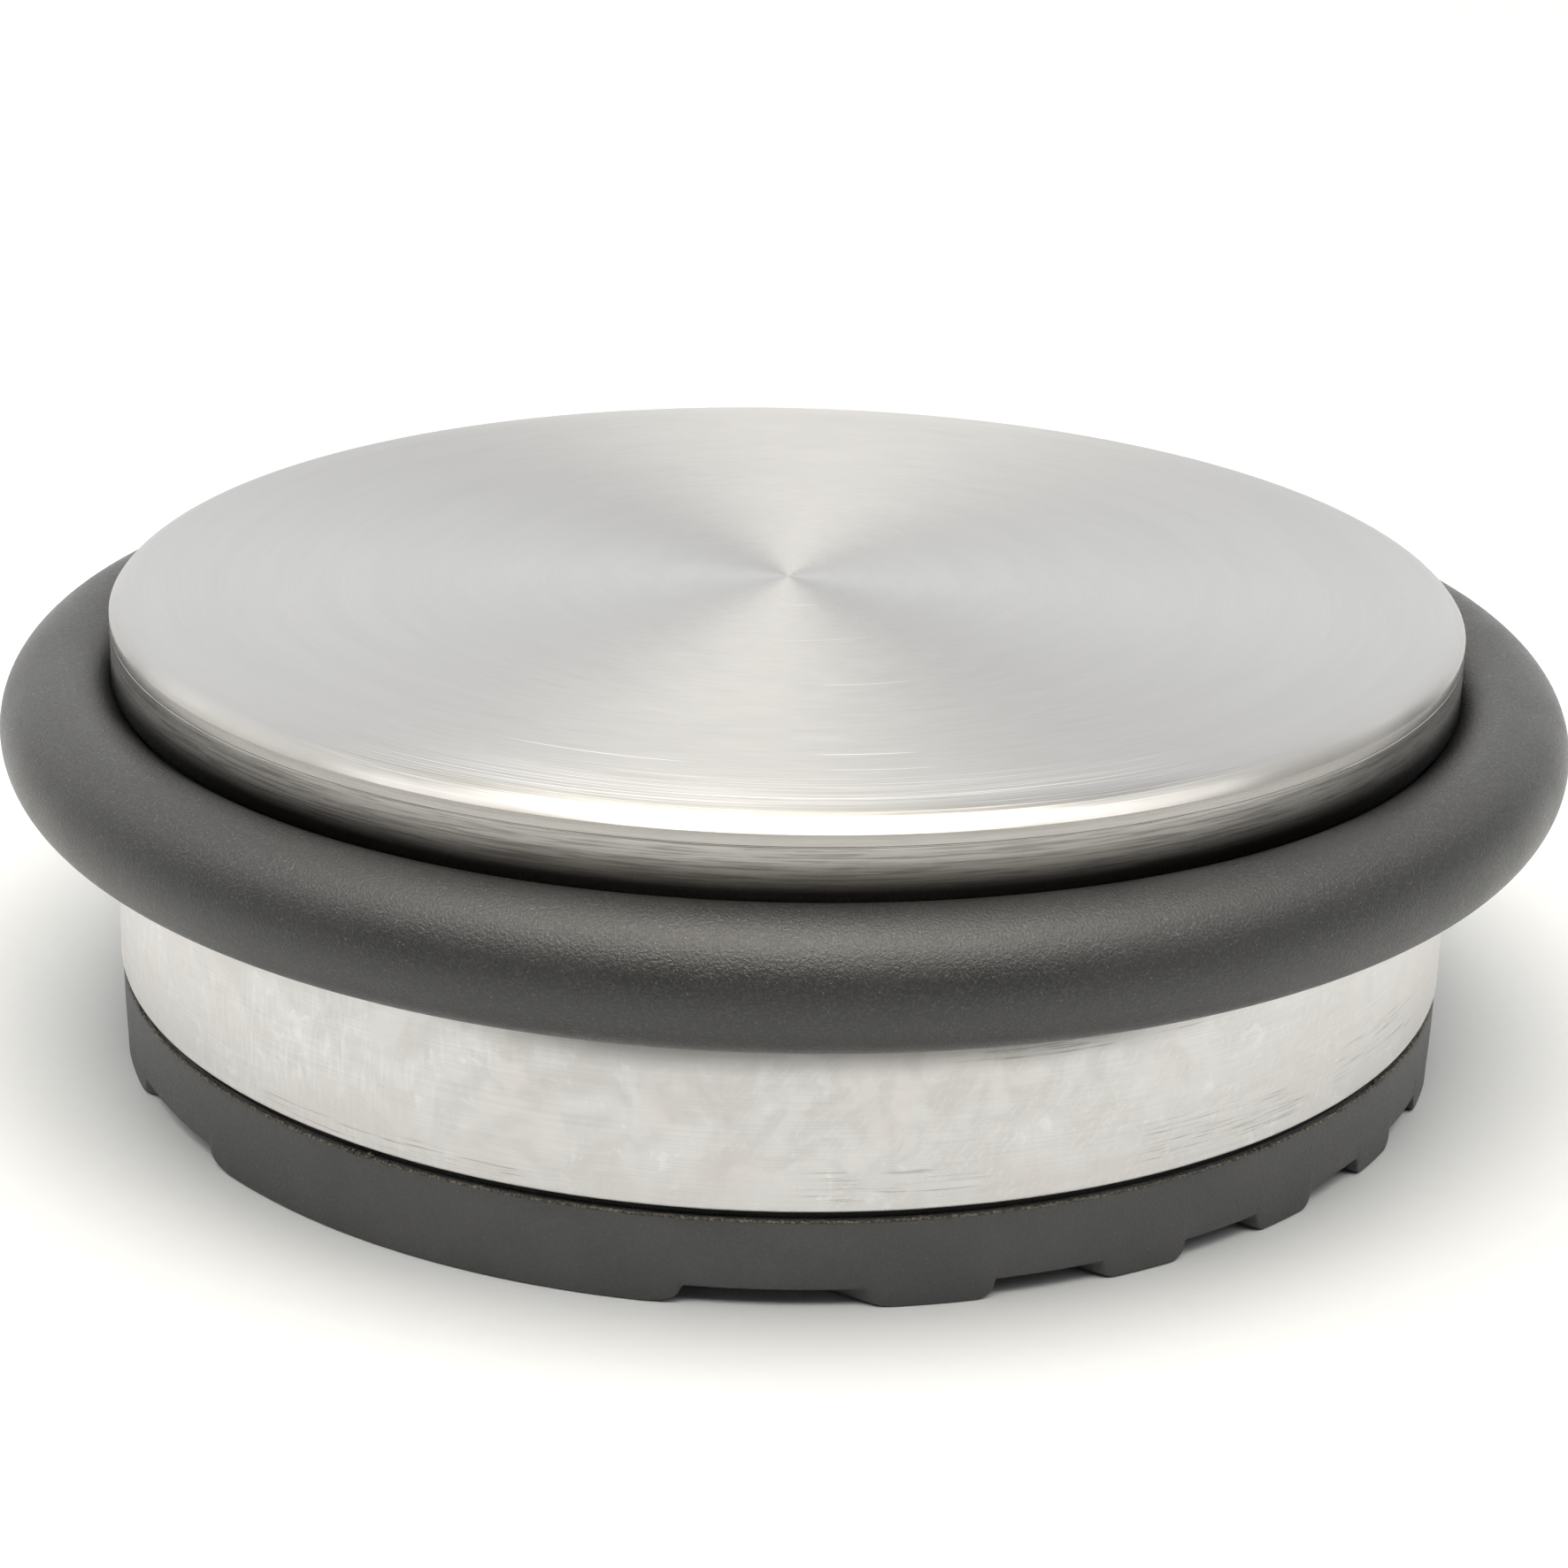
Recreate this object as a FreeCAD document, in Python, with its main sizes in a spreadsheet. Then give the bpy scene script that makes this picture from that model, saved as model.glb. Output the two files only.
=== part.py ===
"""Round floor door stop: two drawn steel shells clamped round a stack of steel discs, with a
rubber bumper ring held in the groove between the shells and a treaded rubber sole below.

Millimetres, +Z up. The origin is the centre of the sole's underside, where it meets the floor.
"""

import FreeCAD
import Part
import os
import Sketcher
from FreeCAD import Placement, Rotation, Vector

SIZES = {
    "BodyRadius": 43.0,
    "OverallHeight": 30.1,
    "SheetThickness": 0.8,
    "TopEdgeRadius": 1.0,
    "LowerEdgeRadius": 0.2,
    "LineDrop": 1.8,
    "LineWidth": 0.2,
    "LineDepth": 0.1,
    "RingSectionRadius": 4.1,
    "RingHeight": 21.8,
    "GrooveWidth": 6.0,
    "GrooveDepth": 1.2,
    "SoleThickness": 5.6,
    "SoleInset": 0.1,
    "SoleDraft": 0.1,
    "AdhesiveThickness": 0.6,
    "AdhesiveInset": 0.6,
    "TreadPitch": 10.35,
    "TreadGap": 5.5,
    "TreadDepth": 1.2,
    "TreadReach": 39.4,
    "TreadAngle": -30.0,
    "TreadCount": 8,
    "DampingThickness": 0.5,
    "DampingInset": 3.0,
    "WeightClearance": 0.1,
    "WeightChamfer": 0.6,
    "ThreadRadius": 3.0,
    "ScrewLength": 20.0,
    "ScrewHeadRadius": 6.0,
    "ScrewClearance": 0.3,
    "SocketWidth": 4.0,
    "SocketDepth": 2.3,
    "BossRadius": 6.0,
    "BossLength": 9.7,
    "BossRoof": 1.0,
    "BossClearance": 0.3,
}

# Lengths that follow from the sheet's cells, as expressions for setExpression.
BAND_BOTTOM = "(Sizes.SoleThickness + Sizes.AdhesiveThickness)"
GROOVE_BOTTOM = "(Sizes.RingHeight - Sizes.GrooveWidth / 2)"
GROOVE_TOP = "(Sizes.RingHeight + Sizes.GrooveWidth / 2)"
GROOVE_FLOOR_RADIUS = "(Sizes.BodyRadius - Sizes.GrooveDepth)"
SHEET_UNDERSIDE = "(Sizes.OverallHeight - Sizes.SheetThickness)"
SHELL_INNER_RADIUS = "(Sizes.BodyRadius - Sizes.SheetThickness)"
WEIGHT_RADIUS = f"({SHELL_INNER_RADIUS} - Sizes.WeightClearance)"
SCREW_HOLE_RADIUS = "(Sizes.ThreadRadius + Sizes.ScrewClearance)"
BOSS_HOLE_RADIUS = "(Sizes.BossRadius + Sizes.BossClearance)"
CAP_HEIGHT = f"(Sizes.OverallHeight - {GROOVE_TOP})"
PAN_HEIGHT = f"({GROOVE_BOTTOM} - {BAND_BOTTOM})"
UPPER_WEIGHT_HEIGHT = f"({SHEET_UNDERSIDE} - Sizes.DampingThickness - {GROOVE_TOP})"
LOWER_WEIGHT_HEIGHT = f"({PAN_HEIGHT} - Sizes.SheetThickness)"
# The dimple's sheet stands on a 45 degree cone, so its upper side is this far above the lower one.
DIMPLE_RISE = "(Sizes.SheetThickness * sqrt(2))"
DIMPLE_RADIUS = f"(Sizes.ScrewHeadRadius + {DIMPLE_RISE} - Sizes.SheetThickness)"

doc = FreeCAD.newDocument("DoorStop")
sheet = doc.addObject("Spreadsheet::Sheet", "Sizes")


def fill_sheet():
    """Writes each driving dimension beside its name and gives the cell that name as alias."""
    for row, (name, value) in enumerate(SIZES.items(), 1):
        sheet.set(f"A{row}", name)
        sheet.set(f"B{row}", str(value))
        sheet.setAlias(f"B{row}", name)
    doc.recompute()


def new_body(name, height):
    """Starts a sub-part whose own zero height stands at the given height of the assembly."""
    body = doc.addObject("PartDesign::Body", name)
    body.Label = name
    body.Placement = Placement(Vector(0, 0, 0), Rotation())
    body.setExpression("Placement.Base.z", height)
    return body


def new_sketch(body, name, role):
    """Puts a sketch on one of the body's own origin planes."""
    planes = [plane for plane in body.Origin.OriginFeatures if plane.Role == role]
    sketch = body.newObject("Sketcher::SketchObject", name)
    sketch.AttachmentSupport = (planes[0], [""])
    sketch.MapMode = "FlatFace"
    return sketch


def hold(sketch, kind, geometry, point, expression):
    """Ties one coordinate of a point to an expression, or to the sketch's axis if it is zero."""
    value = sketch.evalExpression(expression)
    if value == 0:
        axis = -2 if kind == "DistanceX" else -1
        sketch.addConstraint(Sketcher.Constraint("PointOnObject", geometry, point, axis))
        return
    index = sketch.addConstraint(Sketcher.Constraint(kind, -1, 1, geometry, point, value))
    sketch.setExpression(f"Constraints[{index}]", expression)


def draw_polygon(sketch, corners):
    """Draws a closed outline whose corners are pairs of expressions, and ties each to them."""
    points = [Vector(*(sketch.evalExpression(part) for part in corner), 0) for corner in corners]
    count = len(points)
    for index, point in enumerate(points):
        sketch.addGeometry(Part.LineSegment(point, points[(index + 1) % count]), False)
    for index in range(count):
        sketch.addConstraint(Sketcher.Constraint("Coincident", index, 2, (index + 1) % count, 1))
    for index, (across, up) in enumerate(corners):
        hold(sketch, "DistanceX", index, 1, across)
        hold(sketch, "DistanceY", index, 1, up)


def revolve(body, corners, name="Turned", kind="PartDesign::Revolution"):
    """Turns an outline of radius and height pairs about the body's vertical axis."""
    sketch = new_sketch(body, f"{body.Label}_{name}_outline", "XZ_Plane")
    draw_polygon(sketch, corners)
    return turn_sketch(body, sketch, name, kind)


def turn_sketch(body, sketch, name, kind):
    """Turns a sketch once round the body's vertical axis."""
    feature = body.newObject(kind, f"{body.Label}_{name}")
    feature.Profile = sketch
    feature.ReferenceAxis = (sketch, ["V_Axis"])
    feature.Angle = 360
    finish_feature(body, feature)
    return feature


def finish_feature(body, feature):
    """Makes a feature the body's last one and works it out."""
    body.Tip = feature
    doc.recompute()


def circles_at(body, feature, radius, height):
    """Names a feature's circular edges of one radius at one height in the body's own frame."""
    wanted = (body.evalExpression(radius), body.evalExpression(height))
    names = []
    for number, edge in enumerate(feature.Shape.Edges, 1):
        curve = edge.Curve
        if not isinstance(curve, Part.Circle):
            continue
        if max(abs(curve.Radius - wanted[0]), abs(curve.Center.z - wanted[1])) < 1e-6:
            names.append(f"Edge{number}")
    if not names:
        raise RuntimeError(f"{body.Label} has no circle of radius {radius} at {height}")
    return names


def dress_edge(body, feature, kind, radius, height, size):
    """Rounds or chamfers the circular edge of one radius at one height."""
    dressed = body.newObject(f"PartDesign::{kind}", f"{body.Label}_{kind}")
    dressed.Base = (feature, circles_at(body, feature, radius, height))
    dressed.setExpression("Radius" if kind == "Fillet" else "Size", size)
    finish_feature(body, dressed)
    return dressed


def make_disc(name, base, thickness, radius, hole=None):
    """Makes a plain round disc, with a central hole if it has one."""
    body = new_body(name, base)
    inner = hole or "0"
    disc = revolve(body, [(inner, "0"), (radius, "0"), (radius, thickness), (inner, thickness)])
    return body, disc


def make_top_cap():
    """A drawn cup, open below, with a soft top edge and a fine line turned into its wall."""
    body = new_body("top_cap", GROOVE_TOP)
    roof = f"({CAP_HEIGHT} - Sizes.SheetThickness)"
    cup = revolve(body, [
        ("0", roof),
        (SHELL_INNER_RADIUS, roof),
        (SHELL_INNER_RADIUS, "0"),
        ("Sizes.BodyRadius", "0"),
        ("Sizes.BodyRadius", CAP_HEIGHT),
        ("0", CAP_HEIGHT),
    ])
    outside = dress_edge(body, cup, "Fillet", "Sizes.BodyRadius", CAP_HEIGHT, "Sizes.TopEdgeRadius")
    inner_radius = "Sizes.TopEdgeRadius - Sizes.SheetThickness"
    dress_edge(body, outside, "Fillet", SHELL_INNER_RADIUS, roof, inner_radius)
    line_top = f"({CAP_HEIGHT} - Sizes.LineDrop)"
    line_bottom = f"({line_top} - Sizes.LineWidth)"
    line_floor = "(Sizes.BodyRadius - Sizes.LineDepth)"
    beyond = "(Sizes.BodyRadius + Sizes.LineDepth)"
    volume = body.Shape.Volume
    revolve(
        body,
        [(line_floor, line_bottom), (beyond, line_bottom), (beyond, line_top), (line_floor, line_top)],
        "Line",
        "PartDesign::Groove",
    )
    check_cut(body, volume)


def check_cut(body, volume_before):
    """Stops if a cutting feature took nothing away."""
    if body.Shape.Volume >= volume_before - 1e-3:
        raise RuntimeError(f"{body.Label}: the cut misses the solid")


def make_base_pan():
    """A drawn pan, open above, with a conical dimple in its floor that seats the screw's head."""
    body = new_body("base_pan", BAND_BOTTOM)
    dimple_top = f"(Sizes.ScrewHeadRadius - {SCREW_HOLE_RADIUS})"
    pan = revolve(body, [
        ("Sizes.ScrewHeadRadius", "0"),
        ("Sizes.BodyRadius", "0"),
        ("Sizes.BodyRadius", PAN_HEIGHT),
        (SHELL_INNER_RADIUS, PAN_HEIGHT),
        (SHELL_INNER_RADIUS, "Sizes.SheetThickness"),
        (DIMPLE_RADIUS, "Sizes.SheetThickness"),
        (SCREW_HOLE_RADIUS, f"({dimple_top} + {DIMPLE_RISE})"),
        (SCREW_HOLE_RADIUS, dimple_top),
    ])
    dress_edge(body, pan, "Fillet", "Sizes.BodyRadius", "0", "Sizes.LowerEdgeRadius")


def make_lower_weight():
    """The thick disc in the pan, with a countersink that fits over the pan's dimple."""
    body = new_body("lower_weight", f"{BAND_BOTTOM} + Sizes.SheetThickness")
    sink_depth = f"({DIMPLE_RADIUS} - {SCREW_HOLE_RADIUS})"
    disc = revolve(body, [
        (DIMPLE_RADIUS, "0"),
        (WEIGHT_RADIUS, "0"),
        (WEIGHT_RADIUS, LOWER_WEIGHT_HEIGHT),
        (SCREW_HOLE_RADIUS, LOWER_WEIGHT_HEIGHT),
        (SCREW_HOLE_RADIUS, sink_depth),
    ])
    dress_edge(body, disc, "Chamfer", WEIGHT_RADIUS, "0", "Sizes.WeightChamfer")


def make_upper_weight():
    """The disc in the cap, chamfered to clear the inside of the cap's soft edge."""
    body, disc = make_disc("upper_weight", GROOVE_TOP, UPPER_WEIGHT_HEIGHT, WEIGHT_RADIUS, BOSS_HOLE_RADIUS)
    dress_edge(body, disc, "Chamfer", WEIGHT_RADIUS, UPPER_WEIGHT_HEIGHT, "Sizes.WeightChamfer")


def make_flat_discs():
    """The ring groove's floor, the pad under the cap's sheet and the film above the sole."""
    make_disc("groove_disc", GROOVE_BOTTOM, "Sizes.GrooveWidth", GROOVE_FLOOR_RADIUS, BOSS_HOLE_RADIUS)
    make_disc(
        "damping_disc",
        f"{SHEET_UNDERSIDE} - Sizes.DampingThickness",
        "Sizes.DampingThickness",
        "(Sizes.BodyRadius - Sizes.DampingInset)",
        BOSS_HOLE_RADIUS,
    )
    make_disc(
        "sole_adhesive",
        "Sizes.SoleThickness",
        "Sizes.AdhesiveThickness",
        "(Sizes.BodyRadius - Sizes.AdhesiveInset)",
    )


def make_cap_boss():
    """A blind threaded boss that hangs from the middle of the cap's sheet."""
    body = new_body("cap_boss", f"{SHEET_UNDERSIDE} - Sizes.BossLength")
    thread_end = "(Sizes.BossLength - Sizes.BossRoof)"
    revolve(body, [
        ("Sizes.ThreadRadius", "0"),
        ("Sizes.BossRadius", "0"),
        ("Sizes.BossRadius", "Sizes.BossLength"),
        ("0", "Sizes.BossLength"),
        ("0", thread_end),
        ("Sizes.ThreadRadius", thread_end),
    ])


def make_clamp_screw():
    """A countersunk screw, head down and flush with the pan's underside, with a hexagon socket."""
    body = new_body("clamp_screw", BAND_BOTTOM)
    cone_height = "(Sizes.ScrewHeadRadius - Sizes.ThreadRadius)"
    revolve(body, [
        ("0", "0"),
        ("Sizes.ScrewHeadRadius", "0"),
        ("Sizes.ThreadRadius", cone_height),
        ("Sizes.ThreadRadius", "Sizes.ScrewLength"),
        ("0", "Sizes.ScrewLength"),
    ])
    sketch = new_sketch(body, "clamp_screw_socket_outline", "XY_Plane")
    side = "Sizes.SocketWidth / sqrt(3)"
    half = "Sizes.SocketWidth / 2"
    draw_polygon(sketch, [
        (side, "0"),
        (f"{side} / 2", half),
        (f"-{side} / 2", half),
        (f"-{side}", "0"),
        (f"-{side} / 2", f"-{half}"),
        (f"{side} / 2", f"-{half}"),
    ])
    cut_upward(body, sketch, "Sizes.SocketDepth")


def cut_upward(body, sketch, depth):
    """Cuts a sketch on the body's lowest plane into the solid above it."""
    volume = body.Shape.Volume
    pocket = body.newObject("PartDesign::Pocket", f"{sketch.Label}_pocket")
    pocket.Profile = sketch
    pocket.Type = "Length"
    pocket.Reversed = True
    pocket.setExpression("Length", depth)
    finish_feature(body, pocket)
    check_cut(body, volume)
    return pocket


def make_bumper_ring():
    """A round-section ring whose inner crest rests on the floor of the groove."""
    body = new_body("bumper_ring", "Sizes.RingHeight")
    sketch = new_sketch(body, "bumper_ring_section", "XZ_Plane")
    centre = f"({GROOVE_FLOOR_RADIUS} + Sizes.RingSectionRadius)"
    middle = Vector(body.evalExpression(centre), 0, 0)
    radius = body.evalExpression("Sizes.RingSectionRadius")
    sketch.addGeometry(Part.Circle(middle, Vector(0, 0, 1), radius), False)
    hold(sketch, "DistanceX", 0, 3, centre)
    hold(sketch, "DistanceY", 0, 3, "0")
    index = sketch.addConstraint(Sketcher.Constraint("Radius", 0, radius))
    sketch.setExpression(f"Constraints[{index}]", "Sizes.RingSectionRadius")
    turn_sketch(body, sketch, "Turned", "PartDesign::Revolution")


def make_rubber_sole():
    """A slightly drafted rubber disc with parallel grooves that leave straight tread bars."""
    body = new_body("rubber_sole", "0")
    top_radius = "(Sizes.BodyRadius - Sizes.SoleInset)"
    floor_radius = f"({top_radius} - Sizes.SoleDraft)"
    revolve(body, [
        ("0", "0"),
        (floor_radius, "0"),
        (top_radius, "Sizes.SoleThickness"),
        ("0", "Sizes.SoleThickness"),
    ])
    sketch = new_sketch(body, "rubber_sole_groove_outline", "XY_Plane")
    sketch.AttachmentOffset = Placement(Vector(0, 0, 0), Rotation(Vector(0, 0, 1), -1))
    sketch.setExpression("AttachmentOffset.Rotation.Angle", "Sizes.TreadAngle")
    near = "-Sizes.TreadReach"
    far = "-Sizes.TreadReach + Sizes.TreadGap"
    left = "-Sizes.BodyRadius"
    right = "Sizes.BodyRadius"
    draw_polygon(sketch, [(left, near), (right, near), (right, far), (left, far)])
    first = cut_upward(body, sketch, "Sizes.TreadDepth")
    volume = body.Shape.Volume
    grooves = body.newObject("PartDesign::LinearPattern", "rubber_sole_grooves")
    grooves.Originals = [first]
    grooves.Direction = (sketch, ["V_Axis"])
    grooves.setExpression("Length", "Sizes.TreadPitch * (Sizes.TreadCount - 1)")
    grooves.setExpression("Occurrences", "Sizes.TreadCount")
    finish_feature(body, grooves)
    check_cut(body, volume)


def check_document():
    """Stops at the first object that failed and at the first sub-part that isn't one good solid."""
    doc.recompute()
    for item in doc.Objects:
        if {"Invalid", "Error"} & set(item.State):
            raise RuntimeError(f"{item.Name} failed: {item.State}")
    for body in bodies():
        shape = body.Shape
        if shape.isNull() or not shape.isValid() or len(shape.Solids) != 1:
            raise RuntimeError(f"{body.Label} isn't one valid solid")


def bodies():
    """Lists the sub-parts."""
    return [item for item in doc.Objects if item.TypeId == "PartDesign::Body"]


def export_bodies():
    """Writes each sub-part to its own file and prints its height range and volume."""
    os.makedirs("parts", exist_ok=True)
    for body in bodies():
        body.Shape.exportStep(f"parts/{body.Label}.step")
        box = body.Shape.BoundBox
        print(f"{body.Label:14} z {box.ZMin:6.2f} to {box.ZMax:6.2f}  volume {body.Shape.Volume:10.1f}")


fill_sheet()
make_top_cap()
make_cap_boss()
make_upper_weight()
make_flat_discs()
make_lower_weight()
make_base_pan()
make_clamp_screw()
make_bumper_ring()
make_rubber_sole()
check_document()
export_bodies()
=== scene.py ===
"""Looks of a round floor door stop: brushed steel shells, a rubber bumper ring and a treaded sole."""

import math
import random

import bpy
from mathutils import Matrix, Vector, noise


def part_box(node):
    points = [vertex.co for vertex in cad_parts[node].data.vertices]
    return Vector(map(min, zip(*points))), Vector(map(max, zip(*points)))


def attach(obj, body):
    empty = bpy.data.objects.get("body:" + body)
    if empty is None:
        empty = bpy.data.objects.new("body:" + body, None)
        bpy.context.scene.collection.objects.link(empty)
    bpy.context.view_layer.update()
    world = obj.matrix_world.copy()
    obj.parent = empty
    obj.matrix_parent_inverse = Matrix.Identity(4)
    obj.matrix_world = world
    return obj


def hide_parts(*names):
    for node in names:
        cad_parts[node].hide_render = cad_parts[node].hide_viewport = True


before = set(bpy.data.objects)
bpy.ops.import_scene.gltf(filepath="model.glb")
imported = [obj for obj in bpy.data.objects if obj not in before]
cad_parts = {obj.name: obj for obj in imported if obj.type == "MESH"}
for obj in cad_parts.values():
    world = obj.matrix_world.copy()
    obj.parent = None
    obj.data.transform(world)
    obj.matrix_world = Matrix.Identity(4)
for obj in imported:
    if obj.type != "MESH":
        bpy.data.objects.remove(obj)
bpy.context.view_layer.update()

MM = 0.001

# ---------------------------------------------------------------- sizes read from the frame


def outer_radius(node):
    """The largest distance of a CAD node's surface from the vertical axis."""
    return max(math.hypot(v.co.x, v.co.y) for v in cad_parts[node].data.vertices)


def height_range(node):
    low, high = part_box(node)
    return low.z, high.z


CAP_BOTTOM, CAP_TOP = height_range("top_cap")
PAN_BOTTOM, PAN_TOP = height_range("base_pan")
RING_BOTTOM, RING_TOP = height_range("bumper_ring")
SOLE_TOP = height_range("rubber_sole")[1]
BODY_RADIUS = outer_radius("top_cap")
SOLE_RADIUS = outer_radius("rubber_sole")
RING_OUTER = outer_radius("bumper_ring")
RING_SECTION = (RING_TOP - RING_BOTTOM) / 2
RING_MIDDLE = (RING_TOP + RING_BOTTOM) / 2

# The shells: sheet, the hole for the screw, rounded rims, and how finely round shapes are divided.
SHEET = 0.8 * MM
SCREW_HOLE_RADIUS = 3.3 * MM
RIM_ROUND = 0.15 * MM
PAN_EDGE_RADIUS = 0.2 * MM
AROUND = 1080

# The cap's edge: a slight crown, then a roll-off between two slopes in degrees, which ends in a crease.
CROWN_START = 38.5 * MM
CROWN_DROP = 0.15 * MM
EDGE_RADIUS = 2.2 * MM
EDGE_START = 5
EDGE_END = 56
CREASE = 0.02 * MM

# The fine line that runs round the cap's wall.
LINE_DROP = 1.8 * MM
LINE_WIDTH = 0.09 * MM
LINE_DEPTH = 0.03 * MM

# ---------------------------------------------------------------- camera

CAMERA_DISTANCE = 270.7 * MM
CAMERA_ELEVATION = math.radians(23.63)
CAMERA_ROLL = math.radians(1.335)
CAMERA_LENS = 93.14
AIM = Vector((0.03, 0, 15.87)) * MM


def make_camera():
    data = bpy.data.cameras.new("camera")
    data.lens = CAMERA_LENS
    data.sensor_width = 36
    data.clip_start = 0.01
    camera = bpy.data.objects.new("camera", data)
    bpy.context.scene.collection.objects.link(camera)
    place = Vector((0, -math.cos(CAMERA_ELEVATION), math.sin(CAMERA_ELEVATION))) * CAMERA_DISTANCE
    towards = (AIM - place).to_track_quat("-Z", "Y").to_matrix().to_4x4()
    camera.matrix_world = Matrix.Translation(place) @ towards @ Matrix.Rotation(CAMERA_ROLL, 4, "Z")
    bpy.context.scene.camera = camera


# ---------------------------------------------------------------- mesh helpers


def arc(centre_r, centre_z, radius, start, end, steps):
    """Points of an arc in the radius-height plane, from start to end degrees."""
    points = []
    for step in range(steps + 1):
        angle = math.radians(start + (end - start) * step / steps)
        points.append((centre_r + radius * math.cos(angle), centre_z + radius * math.sin(angle)))
    return points


def new_object(name, vertices, faces, material, node=None):
    """Makes a smooth-shaded mesh object that rides on the one body of the door stop."""
    mesh = bpy.data.meshes.new(name)
    mesh.from_pydata(vertices, [], faces)
    mesh.validate()
    mesh.materials.append(material)
    mesh.shade_smooth()
    obj = bpy.data.objects.new(name, mesh)
    bpy.context.scene.collection.objects.link(obj)
    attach(obj, "root")
    if node:
        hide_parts(node)
    return obj


def lathe(outline, around=AROUND):
    """Turns a closed outline of (radius, height) points about the vertical axis."""
    vertices = []
    rings = []
    for radius, height in outline:
        first = len(vertices)
        if radius < 1e-9:
            vertices.append((0, 0, height))
            rings.append([first] * around)
            continue
        for step in range(around):
            angle = 2 * math.pi * step / around
            vertices.append((radius * math.cos(angle), radius * math.sin(angle), height))
        rings.append(list(range(first, first + around)))
    faces = []
    for index, lower in enumerate(rings):
        upper = rings[(index + 1) % len(rings)]
        for step in range(around):
            after = (step + 1) % around
            corners = [lower[step], lower[after], upper[after], upper[step]]
            face = [c for place, c in enumerate(corners) if c not in corners[:place]]
            if len(face) > 2:
                faces.append(face)
    return vertices, faces


# ---------------------------------------------------------------- material helpers


class Nodes:
    """A short way to write a node tree: each call adds one node and links or sets its inputs."""

    def __init__(self, name):
        self.material = bpy.data.materials.new(name)
        self.material.use_nodes = True
        self.tree = self.material.node_tree
        self.shader = self.tree.nodes["Principled BSDF"]

    def put(self, socket, value):
        if isinstance(value, bpy.types.NodeSocket):
            self.tree.links.new(value, socket)
        else:
            socket.default_value = value

    def add(self, kind, output=0, inputs=None, **settings):
        node = self.tree.nodes.new(kind)
        for name, value in settings.items():
            setattr(node, name, value)
        for key, value in (inputs or {}).items():
            self.put(node.inputs[key], value)
        return node.outputs[output]

    def math(self, operation, first, second=0.0, third=0.0):
        return self.add("ShaderNodeMath", inputs={0: first, 1: second, 2: third}, operation=operation)

    def vector(self, operation, first, second=(0, 0, 0), output=0):
        return self.add("ShaderNodeVectorMath", output, {0: first, 1: second}, operation=operation)

    def split(self, vector):
        """The three components of a vector."""
        node = self.tree.nodes.new("ShaderNodeSeparateXYZ")
        self.put(node.inputs[0], vector)
        return list(node.outputs)

    def axis_distance(self, x, y):
        """Distance from the vertical axis."""
        flat = self.add("ShaderNodeCombineXYZ", inputs={0: x, 1: y})
        return self.vector("LENGTH", flat, output="Value")

    def position(self):
        """The point in millimetres, in the object's own frame."""
        place = self.add("ShaderNodeTexCoord", "Object")
        return self.vector("MULTIPLY", place, (1000, 1000, 1000))

    def polar(self, turn_scale, out_scale, up_scale=1.0):
        """A seamless vector for noise stretched round the axis: direction, then radius and height."""
        x, y, height = self.split(self.position())
        direction = self.vector("NORMALIZE", self.add("ShaderNodeCombineXYZ", inputs={0: x, 1: y}))
        around = self.vector("MULTIPLY", direction, (turn_scale, turn_scale, 0))
        out = self.math("MULTIPLY", self.axis_distance(x, y), out_scale)
        up = self.math("MULTIPLY_ADD", height, up_scale, out)
        lift = self.add("ShaderNodeCombineXYZ", inputs={2: up})
        return self.vector("ADD", around, lift)

    def noise(self, vector, scale=1.0, detail=2.0, roughness=0.5, distortion=0.0):
        inputs = {
            "Vector": vector, "Scale": scale, "Detail": detail,
            "Roughness": roughness, "Distortion": distortion,
        }
        return self.add("ShaderNodeTexNoise", "Fac", inputs)

    def ramp(self, value, low, high, to_low=0.0, to_high=1.0):
        """Maps low..high to to_low..to_high, smoothly and clamped."""
        inputs = {"Value": value, 1: low, 2: high, 3: to_low, 4: to_high}
        return self.add("ShaderNodeMapRange", inputs=inputs, interpolation_type="SMOOTHSTEP")

    def mix(self, share, first, second):
        """Blends two colours. Sockets 0, 6 and 7 are the colour blend's factor, A and B."""
        inputs = {0: share, 6: first, 7: second}
        return self.add("ShaderNodeMix", 2, inputs, data_type="RGBA")

    def bump(self, height, distance, strength=1.0):
        inputs = {"Height": height, "Distance": distance, "Strength": strength}
        return self.add("ShaderNodeBump", inputs=inputs)

    def set(self, **values):
        """Sets the shader's inputs, with _ for a space in their names."""
        for name, value in values.items():
            self.put(self.shader.inputs[name.replace("_", " ")], value)


def grey(level, warm=0.0):
    """A grey of that linear level, a little warmer or cooler."""
    return (level * (1 + warm), level, level * (1 - warm), 1)


# ---------------------------------------------------------------- materials


def arc_mark(n, radius, start, end, width=0.075):
    """A thin curved scratch on the flat top: 1 on its line, fading out at its two ends."""
    x, y, _ = n.split(n.position())
    off = n.math("ABSOLUTE", n.math("SUBTRACT", n.axis_distance(x, y), radius))
    angle = n.math("DEGREES", n.math("ARCTAN2", y, x))
    reach = (end - start) / 2
    away = n.math("ABSOLUTE", n.math("SUBTRACT", angle, (start + end) / 2))
    return n.math("MULTIPLY", n.ramp(off, 0, width, 1.0, 0.0), n.ramp(away, reach * 0.5, reach, 1.0, 0.0))


def window(n, value, middle, reach, soft):
    """1 within reach of the middle value, fading to 0 over the soft margin outside it."""
    away = n.math("ABSOLUTE", n.math("SUBTRACT", value, middle))
    return n.ramp(away, reach, reach + soft, 1.0, 0.0)


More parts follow.
